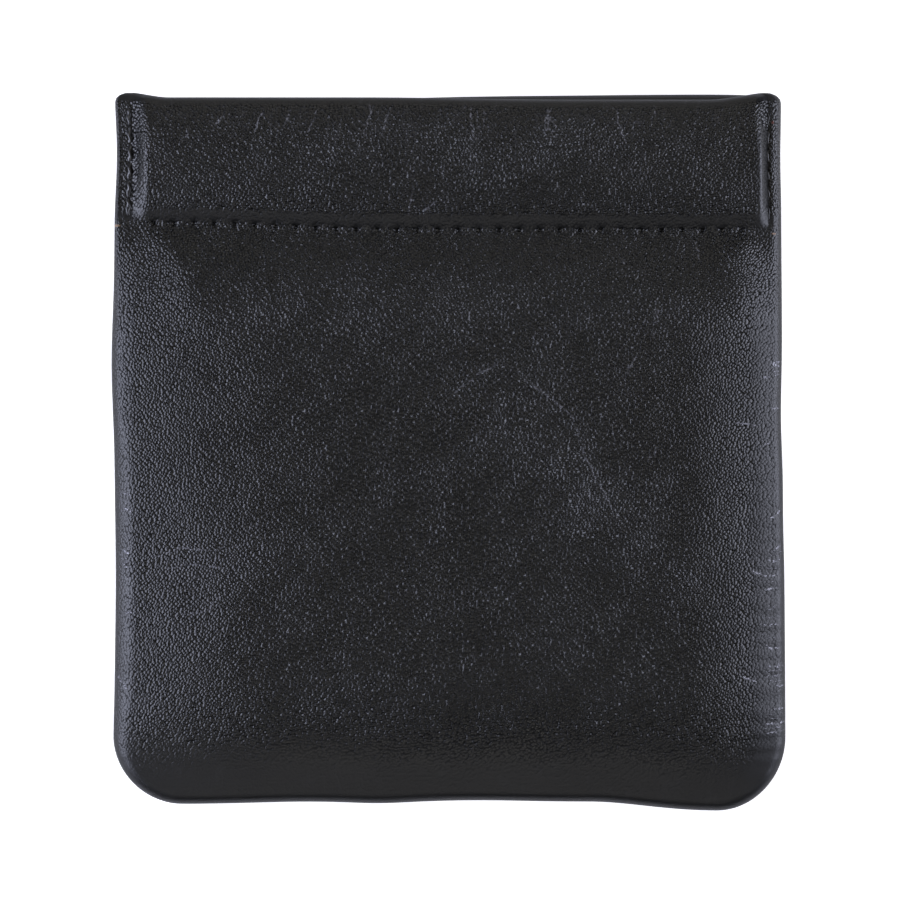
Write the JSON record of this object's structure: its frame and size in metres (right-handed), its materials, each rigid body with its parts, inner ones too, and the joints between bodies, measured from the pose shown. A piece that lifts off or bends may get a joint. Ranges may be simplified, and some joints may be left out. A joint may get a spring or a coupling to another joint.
{
  "type": "coin pouch",
  "caption": "Flat black leather coin pouch with a spring-strip mouth that opens when its ends are squeezed.",
  "frame": {"origin": "on the table under the middle of the pouch, which lies on its back", "axes": "+X to the pouch's right-hand side, +Y to its mouth, +Z out of its front"},
  "size_m": [0.0906, 0.0966, 0.009],
  "materials": {
    "black_leather": "black grained leather with a low polish, lightly creased from use",
    "spring_steel": "bare rolled spring steel",
    "black_thread": "black bonded sewing thread"
  },
  "bodies": {
    "back_wall": {"back_panel": "black_leather", "back_spring": "spring_steel", "back_casing_thread": "black_thread", "back_left_side_thread": "black_thread", "back_right_side_thread": "black_thread"},
    "pouch_edge": {"sewn_edge": "black_leather", "seam_thread": "black_thread"},
    "front_wall": {"front_panel": "black_leather", "front_spring": "spring_steel", "front_casing_thread": "black_thread", "front_left_side_thread": "black_thread", "front_right_side_thread": "black_thread"}
  },
  "joints": [
    {"name": "mouth_open", "type": "hinge", "parent": "back_wall", "child": "pouch_edge", "pos_m": [0, -0.04825, 0.00449], "axis": [1, 0, 0], "range_deg": [0, 10], "stiffness_Nm_per_rad": 0.5, "springref_deg": -2.86},
    {"name": "front_open", "type": "hinge", "parent": "pouch_edge", "child": "front_wall", "pos_m": [0, -0.04825, 0.00449], "axis": [1, 0, 0], "range_deg": [0, 10], "stiffness_Nm_per_rad": 0.5, "springref_deg": -2.86}
  ],
  "couplings": [
    {"joint": "front_open", "follows": "mouth_open", "ratio": 1}
  ]
}
